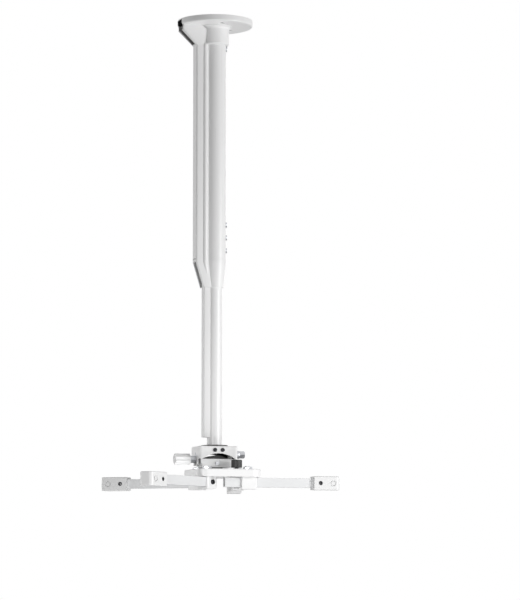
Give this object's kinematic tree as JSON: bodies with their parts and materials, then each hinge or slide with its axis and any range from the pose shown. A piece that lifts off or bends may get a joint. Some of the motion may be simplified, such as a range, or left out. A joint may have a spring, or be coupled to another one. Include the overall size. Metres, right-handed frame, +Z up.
{
  "type": "projector ceiling mount",
  "caption": "Telescopic ceiling column with cable covers and a swivel, pitch and roll head whose sliding arms carry a projector by its underside.",
  "frame": {"origin": "middle of the ceiling plate's upper face", "axes": "+Z up into the ceiling along the column, +X away from the cable side, +Y to the back"},
  "size_m": [0.3704, 0.3416, 0.7857],
  "materials": {
    "white_paint": "pale semi-gloss powder coat",
    "silver": "satin extruded aluminium",
    "grey_plastic": "pale moulded plastic",
    "black_plastic": "black moulded plastic",
    "steel": "bright zinc-plated steel",
    "dark_screw": "blackened steel"
  },
  "bodies": {
    "ceiling": {"ceiling_plate": "white_paint", "column_socket": "white_paint", "socket_core": "white_paint", "cable_funnel": "grey_plastic", "outer_tube": "white_paint", "upper_cable_cover": "white_paint", "taper_collar": "grey_plastic", "guide_sleeve": "black_plastic", "column_clamp_screws": "steel", "socket_screw": "steel"},
    "drop_column": {"inner_tube": "white_paint", "lower_cable_cover": "white_paint", "spigot": "steel", "spigot_pin": "steel"},
    "swivel": {"yoke": "white_paint", "lock_leg": "white_paint", "swivel_washer": "black_plastic", "yaw_lock_screws": "dark_screw"},
    "pitch": {"cradle": "white_paint", "pitch_pins": "steel", "pitch_washers": "black_plastic", "pitch_nut": "steel", "roll_pin": "steel"},
    "pitch_lock": {"lock_bolt": "steel", "lock_knob": "grey_plastic"},
    "hub": {"roll_saddle": "black_plastic", "hub_tray": "white_paint", "hub_bolts": "steel"},
    "hub_release": {"release_knob": "black_plastic"},
    "near_left_pivot": {"near_left_sleeve": "white_paint", "near_left_sleeve_nut": "steel", "near_left_sleeve_screw": "dark_screw"},
    "near_left_arm": {"near_left_bar": "silver", "near_left_foot": "grey_plastic", "near_left_foot_screw": "dark_screw"},
    "far_left_pivot": {"far_left_sleeve": "white_paint", "far_left_sleeve_nut": "steel", "far_left_sleeve_screw": "dark_screw"},
    "far_left_arm": {"far_left_bar": "silver", "far_left_foot": "grey_plastic", "far_left_foot_screw": "dark_screw"},
    "near_right_pivot": {"near_right_sleeve": "white_paint", "near_right_sleeve_nut": "steel", "near_right_sleeve_screw": "dark_screw"},
    "near_right_arm": {"near_right_bar": "silver", "near_right_foot": "grey_plastic", "near_right_foot_screw": "dark_screw"},
    "far_right_pivot": {"far_right_sleeve": "white_paint", "far_right_sleeve_nut": "steel", "far_right_sleeve_screw": "dark_screw"},
    "far_right_arm": {"far_right_bar": "silver", "far_right_foot": "grey_plastic", "far_right_foot_screw": "dark_screw"}
  },
  "joints": [
    {"name": "column_slide", "type": "slide", "parent": "ceiling", "child": "drop_column", "axis": [0, 0, 1], "range_m": [-0.02, 0.235]},
    {"name": "yaw", "type": "hinge", "parent": "drop_column", "child": "swivel", "pos_m": [0, 0, -0.7186], "axis": [0, 0, 1], "range_deg": [-180, 180]},
    {"name": "pitch_tilt", "type": "hinge", "parent": "swivel", "child": "pitch", "pos_m": [0, 0, -0.7277], "axis": [1, 0, 0], "range_deg": [-15, 15]},
    {"name": "pitch_lock_turn", "type": "hinge", "parent": "pitch", "child": "pitch_lock", "pos_m": [-0.05, 0, -0.7362], "axis": [1, 0, 0], "range_deg": [-180, 180]},
    {"name": "roll_tilt", "type": "hinge", "parent": "pitch", "child": "hub", "pos_m": [0, 0, -0.7427], "axis": [0, 1, 0], "range_deg": [-4, 4]},
    {"name": "release_turn", "type": "hinge", "parent": "hub", "child": "hub_release", "pos_m": [0.027, -0.037, -0.7446], "axis": [0, 0, 1], "range_deg": [-180, 180]},
    {"name": "near_left_swing", "type": "hinge", "parent": "hub", "child": "near_left_pivot", "pos_m": [-0.021, -0.028, -0.7527], "axis": [0, 0, 1], "range_deg": [-16, 18]},
    {"name": "near_left_slide", "type": "slide", "parent": "near_left_pivot", "child": "near_left_arm", "axis": [-0.7638, -0.6455, 0], "range_m": [-0.007, 0.002]},
    {"name": "far_left_swing", "type": "hinge", "parent": "hub", "child": "far_left_pivot", "pos_m": [-0.021, 0.028, -0.7527], "axis": [0, 0, 1], "range_deg": [-14, 25]},
    {"name": "far_left_slide", "type": "slide", "parent": "far_left_pivot", "child": "far_left_arm", "axis": [-0.8271, 0.5621, 0], "range_m": [-0.002, 0.017]},
    {"name": "near_right_swing", "type": "hinge", "parent": "hub", "child": "near_right_pivot", "pos_m": [0.049, -0.028, -0.7527], "axis": [0, 0, 1], "range_deg": [-12, 18]},
    {"name": "near_right_slide", "type": "slide", "parent": "near_right_pivot", "child": "near_right_arm", "axis": [0.9995, -0.0314, 0], "range_m": [-0.001, 0.026]},
    {"name": "far_right_swing", "type": "hinge", "parent": "hub", "child": "far_right_pivot", "pos_m": [0.049, 0.028, -0.7527], "axis": [0, 0, 1], "range_deg": [-30, 16]},
    {"name": "far_right_slide", "type": "slide", "parent": "far_right_pivot", "child": "far_right_arm", "axis": [0.2622, 0.965, 0], "range_m": [-0.008, 0.017]}
  ]
}
